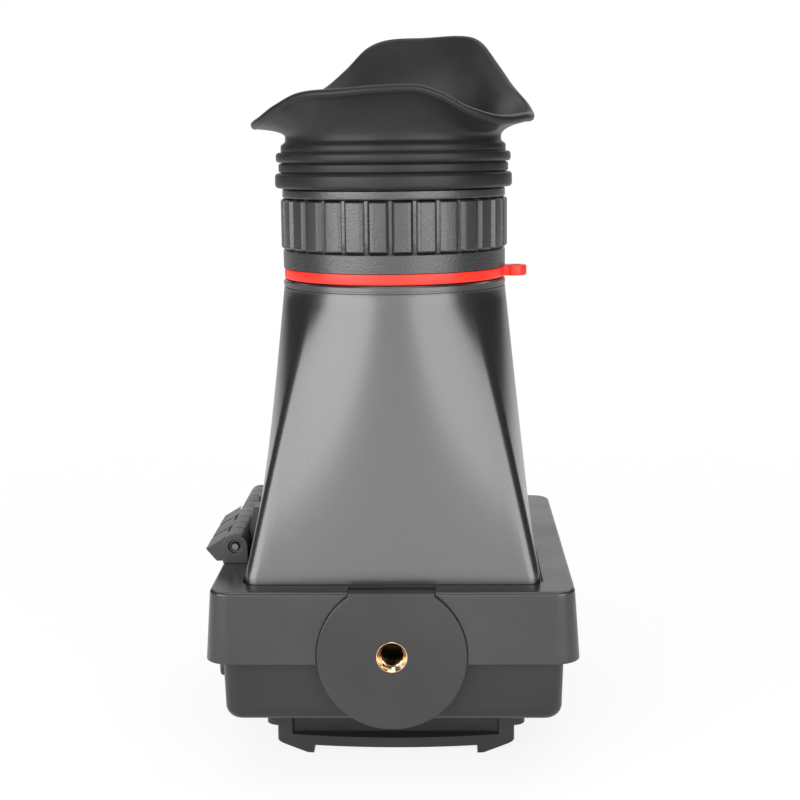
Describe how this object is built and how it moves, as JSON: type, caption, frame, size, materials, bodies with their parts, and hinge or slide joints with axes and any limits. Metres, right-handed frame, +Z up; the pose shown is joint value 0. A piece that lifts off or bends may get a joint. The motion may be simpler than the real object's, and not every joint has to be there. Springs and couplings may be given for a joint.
{
  "type": "electronic viewfinder",
  "caption": "Electronic viewfinder with a flip-up magnifying loupe, focus ring, rubber eyecup, side mounting disc with a tripod thread, and a slide-on battery plate.",
  "frame": {"origin": "on the axis of the tripod thread in the mounting disc, where the thread starts behind its chamfered mouth", "axes": "+Z up along the optical axis, from the battery plate to the eyecup; -Y out of the mounting disc along the tripod thread; +X away from the hinge"},
  "size_m": [0.0868, 0.097, 0.1731],
  "materials": {
    "frame_plastic": "fine textured black",
    "case_plastic": "fine textured black",
    "hood_plastic": "satin black",
    "disc_metal": "black anodised",
    "ring_plastic": "sand blasted black",
    "hinge_metal": "black powder coat",
    "red_plastic": "satin red",
    "eyecup_rubber": "matte soft rubber",
    "brass": "turned",
    "steel": "plated",
    "black_steel": "black oxide",
    "magnet": "nickel plated",
    "lens_glass": "coated optical glass",
    "window_glass": "anti reflection coated",
    "screen": "dark screen",
    "backlight_white": "white diffuser",
    "board_green": "solder mask",
    "chip_black": "moulded",
    "polyimide": "polyimide film",
    "gold_contact": "gold plated",
    "button_rubber": "soft touch",
    "foam": "closed cell foam"
  },
  "bodies": {
    "root": {"front_case": "frame_plastic", "rear_case": "case_plastic", "mount_disc": "disc_metal", "thread_insert": "brass", "mount_backing_plate": "steel", "mount_screws": "black_steel", "glass_gasket": "foam", "cover_glass": "window_glass", "lcd_panel": "screen", "backlight": "backlight_white", "lcd_bracket": "steel", "lcd_screws": "steel", "main_board": "board_green", "board_components": "chip_black", "ribbon_cable": "polyimide", "button_switches": "chip_black", "video_in_socket": "steel", "video_out_socket": "steel", "power_jack": "chip_black", "case_screws": "black_steel", "battery_plate": "case_plastic", "battery_contacts": "gold_contact", "plate_screws": "black_steel", "hinge_bracket": "hinge_metal", "hinge_end_ears": "hinge_metal", "hinge_pin": "steel", "hinge_screws": "black_steel", "frame_magnets": "magnet"},
    "loupe": {"loupe_housing": "hood_plastic", "light_seal": "foam", "hinge_leaf": "hinge_metal", "leaf_screws": "black_steel", "loupe_magnets": "magnet", "eyepiece_barrel": "ring_plastic", "lanyard_ring": "red_plastic", "top_collar": "ring_plastic"},
    "focus_ring": {"focus_ring": "ring_plastic"},
    "lens_cell": {"lens_cell": "ring_plastic", "drive_pins": "steel", "field_lens": "lens_glass", "lens_spacer": "disc_metal", "eye_lens": "lens_glass", "lens_retainer": "disc_metal"},
    "eyecup": {"eyecup": "eyecup_rubber", "eyecup_clip": "ring_plastic"},
    "menu_button": {"menu_button": "button_rubber"},
    "up_button": {"up_button": "button_rubber"},
    "down_button": {"down_button": "button_rubber"},
    "power_button": {"power_button": "button_rubber"},
    "battery_catch": {"battery_catch": "button_rubber"}
  },
  "joints": [
    {"name": "loupe_hinge", "type": "hinge", "parent": "root", "child": "loupe", "pos_m": [-0.0377, 0.0514, 0.0184], "axis": [0, -1, 0], "range_deg": [0, 100]},
    {"name": "focus_turn", "type": "hinge", "parent": "loupe", "child": "focus_ring", "pos_m": [0, 0.04775, 0.0934], "axis": [0, 0, 1], "range_deg": [0, 160]},
    {"name": "lens_slide", "type": "slide", "parent": "loupe", "child": "lens_cell", "axis": [0, 0, 1], "range_m": [0, 0.0035]},
    {"name": "eyecup_turn", "type": "hinge", "parent": "loupe", "child": "eyecup", "pos_m": [0, 0.04775, 0.1071], "axis": [0, 0, 1], "continuous": true},
    {"name": "menu_press", "type": "slide", "parent": "root", "child": "menu_button", "axis": [1, 0, 0], "range_m": [0, 0.0007], "stiffness_N_per_m": 400},
    {"name": "up_press", "type": "slide", "parent": "root", "child": "up_button", "axis": [1, 0, 0], "range_m": [0, 0.0007], "stiffness_N_per_m": 400},
    {"name": "down_press", "type": "slide", "parent": "root", "child": "down_button", "axis": [1, 0, 0], "range_m": [0, 0.0007], "stiffness_N_per_m": 400},
    {"name": "power_press", "type": "slide", "parent": "root", "child": "power_button", "axis": [1, 0, 0], "range_m": [0, 0.0007], "stiffness_N_per_m": 400},
    {"name": "catch_press", "type": "slide", "parent": "root", "child": "battery_catch", "axis": [0, 0, 1], "range_m": [0, 0.0014], "stiffness_N_per_m": 400}
  ],
  "couplings": [
    {"joint": "lens_slide", "follows": "focus_turn", "m_per_rad": 0.0012527}
  ]
}
